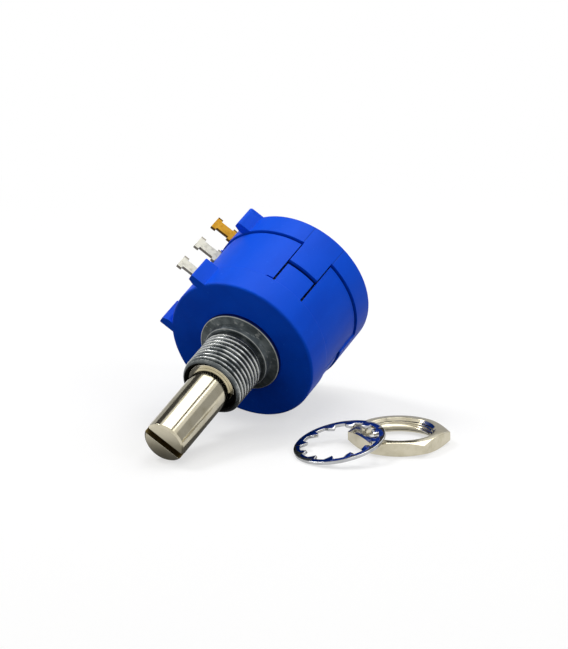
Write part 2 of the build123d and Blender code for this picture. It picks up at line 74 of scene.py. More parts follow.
washerLow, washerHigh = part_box("lock_washer")
washerMiddle = (washerLow + washerHigh) / 2
washerRise = (nutMiddle - washerMiddle) * Vector((1, 1, 0))      # it leans up towards the nut
print("frame read, mounting face at", tuple(round(v / mm, 2) for v in faceMiddle))


# Shader sums are written with this wrapper round a socket

class Wire:
    def __init__(self, tree, socket=None):
        self.tree = tree
        self.socket = socket

    def node(self, kind, settings=None, inputs=None, output=0):
        made = self.tree.nodes.new(kind)
        for key, value in (settings or {}).items():
            setattr(made, key, value)
        for key, value in (inputs or {}).items():
            if isinstance(value, Wire):
                self.tree.links.new(value.socket, made.inputs[key])
            else:
                made.inputs[key].default_value = value
        return Wire(self.tree, made.outputs[output] if made.outputs else None)

    def math(self, operation, first, second=0.0):
        return self.node("ShaderNodeMath", {"operation": operation}, {0: first, 1: second})

    def __add__(self, other):
        return self.math("ADD", self, other)

    def __radd__(self, other):
        return self.math("ADD", other, self)

    def __sub__(self, other):
        return self.math("SUBTRACT", self, other)

    def __rsub__(self, other):
        return self.math("SUBTRACT", other, self)

    def __mul__(self, other):
        return self.math("MULTIPLY", self, other)

    def __rmul__(self, other):
        return self.math("MULTIPLY", other, self)

    def size(self):
        return self.math("ABSOLUTE", self)

    def between(self, low, high):                       # 0 below low, 1 above high
        return self.node("ShaderNodeMapRange", {"interpolation_type": "SMOOTHSTEP"},
                         {"Value": self, "From Min": low, "From Max": high})

    def betweenMm(self, ends):
        return self.between(ends[0] * mm, ends[1] * mm)

    def blend(self, first, second):                     # this wire is the share of the second colour
        return self.node("ShaderNodeMix", {"data_type": "RGBA"}, {0: self, 6: first, 7: second}, 2)


def startMaterial(name):
    material = bpy.data.materials.new(name)
    material.use_nodes = True
    material.node_tree.nodes.clear()
    return material, Wire(material.node_tree)


def placeWire(board, place=None):
    objectWay = board.node("ShaderNodeTexCoord", output=3)
    if place is None:
        return objectWay
    return board.node("ShaderNodeMapping", {"vector_type": "TEXTURE"},
                      {"Vector": objectWay, "Location": place.to_translation(), "Rotation": place.to_euler()})


def stretch(board, vector, scale):
    return board.node("ShaderNodeVectorMath", {"operation": "MULTIPLY"}, {0: vector, 1: scale})


def noise(board, vector, scale, detail=2.0, roughness=0.5):
    return board.node("ShaderNodeTexNoise", None,
                      {"Vector": vector, "Scale": scale, "Detail": detail, "Roughness": roughness})


def parts(board, vector):
    split = board.node("ShaderNodeSeparateXYZ", None, {"Vector": vector})
    owner = split.socket.node
    return [Wire(board.tree, owner.outputs[i]) for i in range(3)]


def fromAxis(board, x, y):
    return board.math("SQRT", x * x + y * y)


def softEdge(board, radius):
    return board.node("ShaderNodeBevel", {"samples": 6}, {"Radius": radius})


def raised(board, height, distance, strength, normal=None):
    inputs = {"Height": height, "Distance": distance, "Strength": strength}
    if normal is not None:
        inputs["Normal"] = normal
    return board.node("ShaderNodeBump", None, inputs)


def finishMaterial(material, board, inputs):
    shader = board.node("ShaderNodeBsdfPrincipled", None, inputs)
    board.node("ShaderNodeOutputMaterial", None, {"Surface": shader})
    return material


def rgba(red, green, blue):
    return (red, green, blue, 1)


# Moulded plastic: fine spark-eroded grain, faint flow mottling and pale rubbed specks, with painted shade in
# the gaps and along the tab lines

bluePlastic = {
    "colour": rgba(0.0, 0.088, 0.80),
    "deepColour": rgba(0.0, 0.072, 0.70),
    "wearAndHighlightColour": rgba(0.02, 0.16, 0.90),
    # painted shade for the gaps' floors and the tab lines
    "paintedGapShade": rgba(0.001, 0.008, 0.10),
    "gapRadii": (10.9, 11.38),                          # a gap's floor and where its painted shade begins, in mm
    "rearFace": (-19.5, -19.3),                         # heights along the shaft, in mm
    "frontFace": (-2.0, -1.9),
    "coverRadii": (11.6, 11.62),
    "coverFront": (-15.5, -15.4),
    "tabHalf": 2.65,                                    # the tabs' sides run on as lines over the cover, bumped and with painted shade
    "tabLineEdge": (0.02, 0.10),
    "rearStep": (9.6, 9.72),                            # moulded step round the rear face
    "grainScale": 5200,
    "speckScale": 2340,
    "flowScale": 160,
    "roughness": 0.38,
    "grainDepth": 0.012 * mm,
    "lineDepth": 0.05 * mm,
    "edge": 0.16 * mm,
}


def makeBluePlastic(s):
    material, board = startMaterial("bluePlastic")
    local = placeWire(board, potPlace)
    grain = noise(board, local, s["grainScale"], 3, 0.6)
    flow = noise(board, stretch(board, local, (1, 1, 0.35)), s["flowScale"], 4, 0.55)
    specks = noise(board, local, s["speckScale"], 1, 0.4).between(0.70, 0.78)
    shade = flow.between(0.35, 0.7).blend(s["colour"], s["deepColour"])
    skin = (specks * 0.35).blend(shade, s["wearAndHighlightColour"])
    x, y, z = parts(board, local)
    radius = fromAxis(board, x, y)
    onRear = 1 - z.betweenMm(s["rearFace"])
    betweenFaces = (1 - onRear) * (1 - z.betweenMm(s["frontFace"]))
    # painted shade, darker towards the floor of each gap between the rear and front faces
    gapShadeMask = (1 - radius.betweenMm(s["gapRadii"])) * betweenFaces
    colour = gapShadeMask.blend(skin, s["paintedGapShade"])
    rough = s["roughness"] + grain * 0.10 + flow * 0.08
    onCover = radius.betweenMm(s["coverRadii"]) * (1 - z.betweenMm(s["coverFront"]))
    fromLine = (board.math("MINIMUM", x.size(), y.size()) - s["tabHalf"] * mm).size()
    tabLine = (1 - fromLine.betweenMm(s["tabLineEdge"])) * onCover
    # painted shade along the tab lines
    colour = (tabLine * 0.35).blend(colour, s["paintedGapShade"])
    rearStep = radius.betweenMm(s["rearStep"]) * onRear
    stepped = raised(board, 1 - tabLine + rearStep, s["lineDepth"], 0.6, softEdge(board, s["edge"]))
    normal = raised(board, grain + flow * 0.6, s["grainDepth"], 0.55, stepped)
    return finishMaterial(material, board, {"IOR": 1.5, "Specular IOR Level": 0.09, "Base Color": colour,
                                            "Roughness": rough, "Normal": normal})


# Die-cast zinc: grey skin with pits and cloudy oxide, painted shade in the thread's roots and round the ring,
# painted glints on the crests, a painted reflection on the flange's rim and patchy painted highlights along
# two rims

zincCasting = {
    "colour": rgba(0.105, 0.12, 0.122),
    "darkColour": rgba(0.05, 0.06, 0.064),
    "threadColour": rgba(0.31, 0.325, 0.315),
    "threadShade": rgba(0.10, 0.112, 0.115),
    "paintedRootShade": rgba(0.045, 0.052, 0.055),
    "paintedCrestGlint": rgba(0.66, 0.67, 0.64),
    "mouthColour": rgba(0.008, 0.008, 0.008),           # deep shade round the retaining ring
    "paintedWallReflection": rgba(0.004, 0.016, 0.12),             # painted reflection of the blue moulding on the flange's rim
    "brightColour": rgba(0.30, 0.31, 0.30),
    # painted highlight along the register's and the flange's rims
    "wearAndHighlightColour": rgba(0.60, 0.61, 0.58),
    "threadBottom": (0.2, 0.5),                         # heights and radii of these stretches, in mm
    "rootRadii": (4.34, 4.56),
    "crestRadii": (4.66, 4.74),
    "wallRadii": (6.40, 6.43),
    "wallTop": (-1.40, -1.36),
    "mouthRadii": (4.20, 4.27),
    "mouthBottom": (6.4, 6.5),
    "highlightedRims": ((5.06, 0.0), (6.38, -1.25)),        # radius and height of each rim with a painted highlight
    "rimHighlightWidth": (0.03, 0.12),
    "pitScale": 2600,
    "cloudScale": 420,
    "dragScale": 900,                                   # marks that the cutting tool dragged round
    "roughness": 0.30,
    "pitDepth": 0.02 * mm,
    "edge": 0.05 * mm,
}


def makeZincCasting(s):
    material, board = startMaterial("zincCasting")
    local = placeWire(board, potPlace)
    pits = noise(board, local, s["pitScale"], 3, 0.65)
    clouds = noise(board, local, s["cloudScale"], 4, 0.6)
    drag = noise(board, stretch(board, local, (1, 1, 5)), s["dragScale"], 3, 0.6)
    patch = clouds.between(0.38, 0.66)
    x, y, z = parts(board, local)
    onThread = z.betweenMm(s["threadBottom"])           # the cut thread is brighter than the cast skin
    castShade = patch.blend(s["darkColour"], s["colour"])
    shade = onThread.blend(castShade, patch.blend(s["threadShade"], s["threadColour"]))
    skin = (drag.between(0.56, 0.72) * 0.6).blend(shade, s["brightColour"])
    radius = fromAxis(board, x, y)
    # painted shade in the thread's roots
    skin = (onThread * (1 - radius.betweenMm(s["rootRadii"])) * 0.85).blend(skin, s["paintedRootShade"])
    # painted glints on the thread's crests
    crestGlint = onThread * radius.betweenMm(s["crestRadii"]) * clouds.between(0.3, 0.6)
    skin = crestGlint.blend(skin, s["paintedCrestGlint"])
    # painted reflection of the blue moulding on the flange's rim
    wallReflectionMask = radius.betweenMm(s["wallRadii"]) * (1 - z.betweenMm(s["wallTop"]))
    skin = wallReflectionMask.blend(skin, s["paintedWallReflection"])
    inMouth = z.betweenMm(s["mouthBottom"]) * (1 - radius.betweenMm(s["mouthRadii"]))
    skin = inMouth.blend(skin, s["mouthColour"])
    # patchy painted highlights along the register's and the flange's rims
    rimHighlight = 0.0
    for rim, height in s["highlightedRims"]:
        away = (radius - rim * mm).size() + (z - height * mm).size()
        rimHighlight = (1 - away.betweenMm(s["rimHighlightWidth"])) + rimHighlight
    colour = (rimHighlight * (0.15 + clouds * 0.9)).blend(skin, s["wearAndHighlightColour"])
    rough = s["roughness"] + pits * 0.22 + (1 - clouds) * 0.12 - onThread * 0.19 + inMouth * 0.3
    normal = raised(board, pits + drag * 0.8, s["pitDepth"], 0.5, softEdge(board, s["edge"]))
    return finishMaterial(material, board, {"Metallic": 0.92, "Base Color": colour,
                                            "Roughness": rough, "Normal": normal})


# Plated metals: a tint, a polish, turning marks round an axis and a few smudges

nickelPlate = {
    "colour": rgba(0.60, 0.555, 0.43),
    "smudgeColour": rgba(0.49, 0.445, 0.32),
    "roughness": 0.10,
    "smudge": 0.10,
    "markScale": 5200,
    "markDepth": 0.006 * mm,
    "edge": 0.06 * mm,
}

chromePlate = {
    "colour": rgba(0.48, 0.485, 0.495),
    "smudgeColour": rgba(0.33, 0.335, 0.345),
    "roughness": 0.05,
    "smudge": 0.08,
    "markScale": 4200,
    "markDepth": 0.003 * mm,
    "edge": 0.05 * mm,
}

ringPlate = {
    "colour": rgba(0.86, 0.82, 0.70),
    "smudgeColour": rgba(0.70, 0.66, 0.53),
    "roughness": 0.16,
    "smudge": 0.10,
    "markScale": 4200,
    "markDepth": 0.006 * mm,
    "edge": 0.12 * mm,
}

springSteel = {
    "colour": rgba(0.50, 0.50, 0.49),
    "smudgeColour": rgba(0.33, 0.33, 0.34),
    "roughness": 0.24,
    "smudge": 0.14,
    "markScale": 3800,
    "markDepth": 0.006 * mm,
    "edge": 0.03 * mm,
}

contactBrass = {
    "colour": rgba(0.72, 0.52, 0.20),
    "smudgeColour": rgba(0.50, 0.33, 0.12),
    "roughness": 0.2,
    "smudge": 0.18,
    "markScale": 4600,
    "markDepth": 0.005 * mm,
    "edge": 0.03 * mm,
}

platingPattern = {
    "smudgeScale": 380,
    "scuffScale": 2600,
}

shaftSlot = {                                           # dark, unpolished walls inside the screwdriver slot
    "colour": rgba(0.15, 0.11, 0.04),
    "half": (0.61, 0.64),                               # half its width, then heights along the shaft, in mm
    "floor": (19.6, 19.64),
    "tip": (20.9, 20.97),
}

nutHoleShade = {                                             # painted shade low in the nut's threaded hole
    "colour": rgba(0.07, 0.065, 0.04),
    "radii": (4.9, 5.0),                                # radii and heights above the nut's foot, in mm
    "heights": (0.1, 1.2),
}


def makePlatedMetal(name, s, place, slot=None, hole=None):
    material, board = startMaterial(name)
    local = placeWire(board, place)
    x, y, z = parts(board, local)
    radius = fromAxis(board, x, y)
    rings = noise(board, board.node("ShaderNodeCombineXYZ", None, {"X": radius, "Y": z, "Z": 0.0}),
                  s["markScale"], 2, 0.5)
    smudges = noise(board, local, platingPattern["smudgeScale"], 4, 0.6)
    scratched = stretch(board, local, (1, 1, 0.12))
    scuffs = noise(board, scratched, platingPattern["scuffScale"], 2, 0.5).between(0.64, 0.74)
    colour = smudges.between(0.42, 0.75).blend(s["colour"], s["smudgeColour"])
    rough = s["roughness"] + smudges.between(0.45, 0.8) * s["smudge"] + scuffs * 0.10 + rings * 0.04
    if hole:
        # painted shade low in the nut's hole
        holeShade = (1 - radius.betweenMm(hole["radii"])) * (1 - z.betweenMm(hole["heights"]))
        colour = (holeShade * 0.85).blend(colour, hole["colour"])
    if slot:
        deep = z.betweenMm(slot["floor"]) * (1 - z.betweenMm(slot["tip"]))
        inSlot = (1 - y.size().betweenMm(slot["half"])) * deep
        colour = inSlot.blend(colour, slot["colour"])
        rough = rough + inSlot * 0.3
    normal = raised(board, rings + scuffs * 0.5, s["markDepth"], 0.5, softEdge(board, s["edge"]))
    return finishMaterial(material, board, {"Metallic": 1.0, "Base Color": colour,
                                            "Roughness": rough, "Normal": normal})


# Terminal plating: the flats carry the plating, the punched edges are rougher and carry painted shade

tinnedBrass = {
    "colour": rgba(0.53, 0.52, 0.45),
    "dullColour": rgba(0.36, 0.35, 0.295),
    "paintedEdgeShade": rgba(0.20, 0.175, 0.13),
    "roughness": 0.42,
}

goldBrass = {
    "colour": rgba(0.44, 0.235, 0.02),
    "dullColour": rgba(0.36, 0.175, 0.01),
    "paintedEdgeShade": rgba(0.06, 0.028, 0.004),
    "roughness": 0.40,
}

terminalSurface = {
    "bladeMiddles": (-8.25, -13.33, -18.5),             # heights of the three blades along the shaft, in mm
    "darkBandRear": (-1.25, -1.2),                          # darker band at the rear end of head and shoulders
    "darkBandFront": (-1.02, -0.86),
    "flowScale": 1500,
    "speckleScale": 5200,
    "speckleDepth": 0.03 * mm,
    "edge": 0.05 * mm,
}


def makeTerminalPlating(name, s):
    surface = terminalSurface
    material, board = startMaterial(name)
    local = placeWire(board, potPlace)
    facing = board.node("ShaderNodeTexCoord", output=1)
    bladeWay = shaftWay.cross(terminalWay)
    flat = board.node("ShaderNodeVectorMath", {"operation": "DOT_PRODUCT"}, {0: facing, 1: bladeWay}, 1)
    # painted shade on the side faces, which turn away from the blade's flats
    onEdge = 1 - flat.size().between(0.35, 0.8)
    flow = noise(board, local, surface["flowScale"], 4, 0.6)
    speckle = noise(board, local, surface["speckleScale"], 2, 0.5)
    shade = flow.between(0.4, 0.72).blend(s["colour"], s["dullColour"])
    height = parts(board, local)[2]
    darkBand = 0.0
    for middle in surface["bladeMiddles"]:
        fromBlade = height - middle * mm
        fromRear = fromBlade.betweenMm(surface["darkBandRear"])
        darkBand = fromRear * (1 - fromBlade.betweenMm(surface["darkBandFront"])) + darkBand
    dark = board.math("MAXIMUM", onEdge * 0.85, darkBand * 0.9)
    colour = dark.blend(shade, s["paintedEdgeShade"])
    rough = s["roughness"] + flow * 0.18 + onEdge * 0.15
    smooth = softEdge(board, surface["edge"])
    normal = raised(board, flow + speckle * 0.5, surface["speckleDepth"], 0.5, smooth)
    return finishMaterial(material, board, {"Metallic": 0.9, "Base Color": colour,
                                            "Roughness": rough, "Normal": normal})


# Resistance wire: hundreds of close turns round the core, drawn as fine ridges across the helix, with painted
# shade between the turns

windingLook = {
    "wireColour": rgba(0.42, 0.36, 0.28),
    "paintedGapShade": rgba(0.12, 0.09, 0.06),
    "turnsAround": 900,
    "turnDepth": 0.02 * mm,
    "roughness": 0.28,
}


def makeResistanceWire(s):
    material, board = startMaterial("resistanceWire")
    x, y = parts(board, placeWire(board, potPlace))[:2]
    around = board.math("ARCTAN2", y, x)
    ridge = board.math("SINE", around * s["turnsAround"]).size()
    # painted shade between the turns
    colour = ridge.between(0.05, 0.5).blend(s["paintedGapShade"], s["wireColour"])
    rough = s["roughness"] + (1 - ridge) * 0.25
    normal = raised(board, ridge, s["turnDepth"], 0.6)
    return finishMaterial(material, board, {"Metallic": 0.9, "Base Color": colour,
                                            "Roughness": rough, "Normal": normal})


# Inner pieces: the core's enamel and the plain mouldings

coreWire = {
    "colour": rgba(0.38, 0.11, 0.03),
    "deepColour": rgba(0.22, 0.05, 0.015),
    "roughness": 0.18,
}

rotorPlastic = {
    "colour": rgba(0.72, 0.69, 0.60),
    "deepColour": rgba(0.60, 0.56, 0.46),
    "roughness": 0.42,
}

carriagePlastic = {
    "colour": rgba(0.035, 0.035, 0.038),
    "deepColour": rgba(0.02, 0.02, 0.022),
    "roughness": 0.38,
}

plainPattern = {
    "flowScale": 320,
    "grainScale": 4200,
    "grainDepth": 0.015 * mm,
}


def makePlainMoulding(name, s):
    material, board = startMaterial(name)
    local = placeWire(board, potPlace)
    flow = noise(board, local, plainPattern["flowScale"], 4, 0.6)
    grain = noise(board, local, plainPattern["grainScale"], 3, 0.6)
    colour = flow.between(0.35, 0.7).blend(s["colour"], s["deepColour"])
    rough = s["roughness"] + grain * 0.12
    normal = raised(board, grain + flow * 0.4, plainPattern["grainDepth"], 0.5)
    return finishMaterial(material, board, {"Base Color": colour, "Roughness": rough, "Normal": normal})


# Mesh pieces

def spinProfile(points, steps, turns=1, rise=0.0):
    mesh = bmesh.new()
    verts = [mesh.verts.new((r * mm, 0, z * mm)) for r, z in points]
    edges = [mesh.edges.new(pair) for pair in zip(verts, verts[1:])]
    closed = turns == 1 and rise == 0
    bmesh.ops.spin(mesh, geom=verts + edges, axis=(0, 0, 1), cent=(0, 0, 0),
                   dvec=(0, 0, rise * mm / steps), angle=2 * math.pi * turns, steps=steps, use_merge=closed)
    bmesh.ops.remove_doubles(mesh, verts=mesh.verts, dist=1e-7)
    return mesh


def cutPast(mesh, height, way):
    geometry = mesh.verts[:] + mesh.edges[:] + mesh.faces[:]
    bmesh.ops.bisect_plane(mesh, geom=geometry, dist=1e-8, plane_co=(0, 0, height * mm),
                           plane_no=(0, 0, way), clear_outer=True)


def limitRadius(mesh, rule):
    for vert in mesh.verts:
        flat = vert.co.xy
        wanted = rule(flat.length / mm, vert.co.z / mm) * mm
        vert.co.xy = flat * (wanted / flat.length)


def joinMeshes(first, second):
    spare = bpy.data.meshes.new("joining")
    second.to_mesh(spare)
    second.free()
    first.from_mesh(spare)
    bpy.data.meshes.remove(spare)


def linkPiece(name, mesh, material):
    data = bpy.data.meshes.new(name)
    mesh.to_mesh(data)
    mesh.free()
    data.materials.append(material)
    piece = bpy.data.objects.new(name, data)
    bpy.context.scene.collection.objects.link(piece)
    return piece


def finishPiece(name, mesh, place, body, material, replaced, sharpAngle):
    bmesh.ops.recalc_face_normals(mesh, faces=mesh.faces)
    bmesh.ops.transform(mesh, matrix=place, verts=mesh.verts)
    piece = linkPiece(name, mesh, material)
    piece.data.shade_smooth()
    piece.data.set_sharp_from_angle(angle=math.radians(sharpAngle))
    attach(piece, body)
    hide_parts(replaced)
    return piece


def roundEdges(piece, s):
    rounding = piece.modifiers.new("edges", "BEVEL")
    rounding.width = s["edgeRounding"] * mm
    rounding.segments = 2
    rounding.limit_method = "ANGLE"
    rounding.angle_limit = math.radians(s["roundedOver"])
    return rounding


def threadWave(share):                                  # 0 at the root, 1 at the crest
    return min(1, max(0, 0.5 - 0.72 * math.cos(2 * math.pi * share)))


# Die-cast bushing with its real turns of thread

bushingSizes = {
    "threadRadius": 4.7625,
    "rootRadius": 4.30,
    "pitch": 0.794,
    "threadStart": 0.6,
    "threadFull": 0.95,
    "mouth": 7.5,
    "mouthChamfer": 0.45,
    "rimRadius": 4.3,
    "rimSlope": 0.48,
    "recessRadius": 3.85,
    "recessDepth": 0.9,
    "boreRadius": 3.205,
    "reliefRadius": 4.41,
    "registerRadius": 5.08,
    "registerHeight": 1.25,
    "flangeRadius": 6.45,
    "flangeRear": -1.85,
    "hubRadius": 5.3,
    "hubHalfFlat": 4.8,
    "wallInside": -3.15,
    "lipRadius": 5.8,
    "lipRear": -3.5,
    "lipChamfer": 0.1,
    "flangeRounding": 0.12,
    "registerFoot": 0.12,
    "registerChamfer": 0.08,
    "rootGap": 0.02,                                    # the core stays this far inside the thread's root
    "samples": 12,
    "steps": 96,
    "sharpAngle": 50,
}


def makeBushing(s, material):
    flange, rounding = s["flangeRadius"], s["flangeRounding"]
    register, foot, chamfer = s["registerRadius"], s["registerFoot"], s["registerChamfer"]
    body = [
        (s["boreRadius"], s["lipRear"]),
        (s["lipRadius"] - s["lipChamfer"], s["lipRear"]),
        (s["lipRadius"], s["lipRear"] + s["lipChamfer"]),
        (s["lipRadius"], s["wallInside"]),
        (s["hubRadius"], s["wallInside"]),
        (s["hubRadius"], s["flangeRear"]),
        (flange, s["flangeRear"]),
        (flange, -s["registerHeight"] - rounding),
        (flange - 0.3 * rounding, -s["registerHeight"] - 0.3 * rounding),
        (flange - rounding, -s["registerHeight"]),
        (register + foot, -s["registerHeight"]),
        (register, -s["registerHeight"] + foot),
        (register, -chamfer),
        (register - chamfer, 0),
        (s["reliefRadius"], 0),
        (s["reliefRadius"], s["threadStart"] + s["rootGap"]),
        (s["rootRadius"] - s["rootGap"], s["threadStart"] + 3 * s["rootGap"]),
        (s["rootRadius"] - s["rootGap"], s["mouth"]),
        (s["rimRadius"] - 0.04, s["mouth"]),
        (s["recessRadius"], s["mouth"] - s["rimSlope"]),
        (s["recessRadius"], s["mouth"] - s["recessDepth"]),
        (s["boreRadius"], s["mouth"] - s["recessDepth"]),
        (s["boreRadius"], s["lipRear"]),
    ]
    core = spinProfile(body, s["steps"])
    halfFlat = s["hubHalfFlat"] * mm
    for vert in core.verts:                             # flats on the hub where it passes the wall
        inWall = s["wallInside"] - 0.01 < vert.co.z / mm < s["flangeRear"] + 0.01
        if inWall and vert.co.xy.length < (s["hubRadius"] + 0.1) * mm:
            vert.co.y = max(-halfFlat, min(halfFlat, vert.co.y))
    turns = math.ceil((s["mouth"] - s["threadStart"]) / s["pitch"]) + 1
    depth = s["threadRadius"] - s["rootRadius"]
    tooth = [(s["rootRadius"] + depth * threadWave(i / s["samples"]),
              s["threadStart"] - s["pitch"] + s["pitch"] * i / s["samples"]) for i in range(s["samples"] + 1)]
    thread = spinProfile(tooth, s["steps"] * turns, turns, s["pitch"] * turns)
    cutPast(thread, s["mouth"], 1)
    cutPast(thread, s["threadStart"], -1)
    slope = s["threadRadius"] - s["reliefRadius"] + 0.06

    def chamfered(radius, height):
        lowEnd = s["threadRadius"] - slope * (s["threadFull"] - height) / (s["threadFull"] - s["threadStart"])
        highEnd = s["threadRadius"] - (height - s["mouth"] + s["mouthChamfer"])
        return min(radius, lowEnd, highEnd)

    limitRadius(thread, chamfered)
    mouthEdges = [e for e in thread.edges if e.is_boundary and
                  min(v.co.z for v in e.verts) > (s["mouth"] - 0.001) * mm]
    lip = bmesh.ops.extrude_edge_only(thread, edges=mouthEdges)["geom"]
    for vert in [g for g in lip if isinstance(g, bmesh.types.BMVert)]:
        vert.co.xy = vert.co.xy.normalized() * (s["rootRadius"] - 0.05) * mm
        vert.co.z -= 0.002 * mm
    joinMeshes(core, thread)
    finishPiece("threadedBushing", core, potPlace, "pot_body",
                material, "mounting_bushing", s["sharpAngle"])


# Panel nut: hexagon with crowned corners and a threaded hole

nutSizes = {
    "halfFlats": 6.35,
    "thickness": 2.1,
    "crownRadius": 6.2,
    "crownHeight": 0.45,
    "countersink": 5.25,
    "holeRadius": 4.3,
    "rootRadius": 4.76,
    "rootGap": 0.03,                                    # the hole's wall stays this far outside the root
    "pitch": bushingSizes["pitch"],
    "turns": 4,
    "turn": 28.0,                                       # how the loose nut lies, in degrees
    "edgeRounding": 0.07,
    "roundedOver": 28,
    "samples": 12,
    "steps": 96,
    "sharpAngle": 25,
}


def makeNut(s, material):
    thick, corner, pitch = s["thickness"], s["halfFlats"] / math.cos(math.pi / 6), s["pitch"]
    wall = s["rootRadius"] + s["rootGap"]
    sink = s["countersink"] - wall
    half = [(wall, sink), (s["countersink"], 0), (s["crownRadius"], 0), (corner, s["crownHeight"])]
    outline = half + [(r, thick - z) for r, z in reversed(half)] + half[:1]
    nut = spinProfile(outline, s["steps"])
    crownSlope = s["crownHeight"] / (corner - s["crownRadius"])
    for vert in nut.verts:
        if vert.co.xy.length > (s["crownRadius"] + 0.01) * mm:
            angle = math.atan2(vert.co.y, vert.co.x)
            side = (angle + math.pi / 6) % (math.pi / 3) - math.pi / 6
            radius = s["halfFlats"] / math.cos(math.pi / 6 - abs(side))
            drop = (radius - s["crownRadius"]) * crownSlope * mm
            vert.co.xy = vert.co.xy.normalized() * radius * mm
            vert.co.z = drop if vert.co.z < thick / 2 * mm else thick * mm - drop
    wave = [(s["rootRadius"] - (s["rootRadius"] - s["holeRadius"]) * threadWave(i / s["samples"]),
             -0.5 * pitch + pitch * i / s["samples"]) for i in range(s["samples"] + 1)]
    thread = spinProfile(wave, s["steps"] * s["turns"], s["turns"], pitch * s["turns"])
    cutPast(thread, thick - sink + 0.1, 1)
    cutPast(thread, sink - 0.1, -1)
    limitRadius(thread, lambda radius, height: max(radius, s["countersink"] - min(height, thick - height)))
    joinMeshes(nut, thread)
    turned = nutPlace @ Matrix.Rotation(math.radians(s["turn"]), 4, "Z")
    piece = finishPiece("panelNut", nut, turned, "nut", material, "hex_nut", s["sharpAngle"])
    roundEdges(piece, s).harden_normals = True


# Internal-tooth lock washer: sheet ring whose teeth are twisted out of its plane

washerSizes = {
    "outerRadius": 6.65,
    "rootRadius": 5.7,
    "tipRadius": 4.9,
    "thickness": 0.45,
    "teeth": 12,
    "edgesPerTooth": 8,
    "toothEdges": 4,
    "toothRows": ((0.35, 1.0), (1.0, 0.62)),            # shares of a tooth's reach and of its width
    "twist": 21.0,
    "edgeRounding": 0.07,
    "roundedOver": 40,
    "sharpAngle": 35,
}


def placeOfWasher(s):                                   # its CAD ring leans with the high edge to the nut
    uphill = washerRise.normalized()
    rise = washerHigh.z - washerLow.z - s["thickness"] * mm
    tilt = math.asin(min(1, rise / (2 * s["outerRadius"] * mm)))
    xWay = uphill * math.cos(tilt) + Vector((0, 0, math.sin(tilt)))
    zWay = uphill * -math.sin(tilt) + Vector((0, 0, math.cos(tilt)))
    return axesToMatrix(washerMiddle, xWay, zWay)


def makeWasher(s, material):
    count = s["teeth"] * s["edgesPerTooth"]
    ring = spinProfile([(s["outerRadius"], 0), (s["rootRadius"], 0)], count)
    ring.verts.ensure_lookup_table()
    inside = (s["rootRadius"] + 0.01) * mm
    rootEdges = [e for e in ring.edges if all(v.co.xy.length < inside for v in e.verts)]
    pitchAngle = 2 * math.pi / s["teeth"]
    twist = math.radians(s["twist"])
    for tooth in range(s["teeth"]):
        middle = (tooth + 0.5) * pitchAngle
        reach = pitchAngle * s["toothEdges"] / s["edgesPerTooth"] / 2

        def fromMiddle(edge):
            point = (edge.verts[0].co + edge.verts[1].co) / 2
            return abs((math.atan2(point.y, point.x) - middle + math.pi) % (2 * math.pi) - math.pi)

        front = [e for e in rootEdges if fromMiddle(e) < reach]
        across = Vector((-math.sin(middle), math.cos(middle), 0))
        outward = Vector((math.cos(middle), math.sin(middle), 0))
        for share, width in s["toothRows"]:
            grown = bmesh.ops.extrude_edge_only(ring, edges=front)["geom"]
            front = [g for g in grown if isinstance(g, bmesh.types.BMEdge)]
            radius = s["rootRadius"] + (s["tipRadius"] - s["rootRadius"]) * share
            for vert in [g for g in grown if isinstance(g, bmesh.types.BMVert)]:
                side = across.dot(vert.co) * width
                flat = outward * radius * mm + across * side * math.cos(twist * share)
                vert.co = flat + Vector((0, 0, side * math.sin(twist * share)))
    bmesh.ops.recalc_face_normals(ring, faces=ring.faces)
    piece = finishPiece("toothedWasher", ring, washerPlace, "washer",
                        material, "lock_washer", s["sharpAngle"])
    sheet = piece.modifiers.new("sheet", "SOLIDIFY")
    sheet.thickness = s["thickness"] * mm
    sheet.offset = 0
    sheet.use_even_offset = True
    roundEdges(piece, s)


# Each material slot of the record gets its finish; the nut and the washer have their own

washerPlace = placeOfWasher(washerSizes)
nutMaterial = makePlatedMetal("nickelNut", nickelPlate, nutPlace, hole=nutHoleShade)
washerMaterial = makePlatedMetal("chromeWasher", chromePlate, washerPlace)
finishes = {
    "blue_plastic": makeBluePlastic(bluePlastic),
    "zinc_casting": makeZincCasting(zincCasting),
    "nickel_plate": makePlatedMetal("nickelShaft", nickelPlate, potPlace, slot=shaftSlot),
    "chrome_plate": makePlatedMetal("platedRing", ringPlate, potPlace),
    "spring_steel": makePlatedMetal("springSteel", springSteel, potPlace),
    "tinned_brass": makeTerminalPlating("tinnedTerminal", tinnedBrass),
    "gold_brass": makeTerminalPlating("goldTerminal", goldBrass),
    "contact_brass": makePlatedMetal("contactBrass", contactBrass, potPlace),
    "resistance_wire": makeResistanceWire(windingLook),
    "core_wire": makePlainMoulding("coreWire", coreWire),
    "rotor_plastic": makePlainMoulding("rotorPlastic", rotorPlastic),
    "carriage_plastic": makePlainMoulding("carriagePlastic", carriagePlastic),
}
for row in frame["record"]["subparts"]:
    meshOfNode = nodes[row["node"]].data
    meshOfNode.materials.clear()
    meshOfNode.materials.append(finishes[row["material_slot"]])
print("materials made:", len(finishes) + 2)

makeBushing(bushingSizes, finishes["zinc_casting"])
makeNut(nutSizes, nutMaterial)
makeWasher(washerSizes, washerMaterial)
print("threaded bushing, nut and washer made")


# Floor, light and camera

stageLook = {
    "floorSize": 1.6,
    "floorGlow": 0.57,
    "floorColour": rgba(0.42, 0.42, 0.42),
    "plainFrom": 0.06,                                  # further out the floor is evenly white
    "plainTo": 0.16,
    "bounceColour": rgba(0.05, 0.05, 0.05),             # what the floor close by throws back at the object
    "farBounce": 0.9,                                   # and what it throws back from further out
    "skyStrength": 0.39,
    "skyColour": rgba(1, 1, 1),
}


